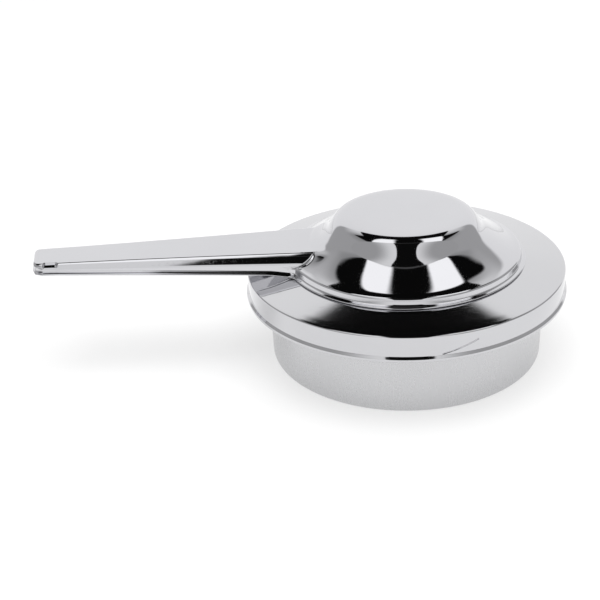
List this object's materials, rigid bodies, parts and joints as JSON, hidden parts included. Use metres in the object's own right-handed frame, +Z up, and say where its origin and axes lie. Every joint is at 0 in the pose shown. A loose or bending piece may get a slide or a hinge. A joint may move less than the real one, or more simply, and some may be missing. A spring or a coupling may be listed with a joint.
{
  "type": "fondue burner",
  "caption": "Stainless fondue burner: round stepped cup, conical cover ring, lift-out fuel insert and a hat-shaped snuffer lid with a long flat handle.",
  "frame": {"origin": "centre of the cup's flat underside", "axes": "+Z up along the burner's axis; the lid's handle runs along -X; +Y completes a right-handed frame"},
  "size_m": [0.1682, 0.1006, 0.046],
  "materials": {
    "cup_steel": "satin-bright drawn stainless steel with a faint vertical grain",
    "ring_steel": "mirror-polished stainless steel",
    "lid_steel": "mirror-polished stainless steel",
    "insert_steel": "plain drawn stainless steel, lightly heat-tinted",
    "gauze_wire": "woven stainless wire",
    "pad_fibre": "matted mineral fibre"
  },
  "bodies": {
    "cup": {"burner_cup": "cup_steel"},
    "cover": {"cover_ring": "ring_steel"},
    "insert": {"fuel_pot": "insert_steel", "absorbent_pad": "pad_fibre", "wick_gauze": "gauze_wire", "gauze_ring": "insert_steel"},
    "lid": {"snuffer_lid": "lid_steel"}
  },
  "joints": [
    {"name": "cover_lift", "type": "slide", "parent": "cup", "child": "cover", "axis": [0, 0, 1], "range_m": [0, 0.035]},
    {"name": "insert_turn", "type": "hinge", "parent": "cover", "child": "insert", "pos_m": [0, 0, 0.032], "axis": [0, 0, 1], "continuous": true},
    {"name": "lid_lift", "type": "slide", "parent": "insert", "child": "lid", "axis": [0, 0, 1], "range_m": [0, 0.06]}
  ]
}
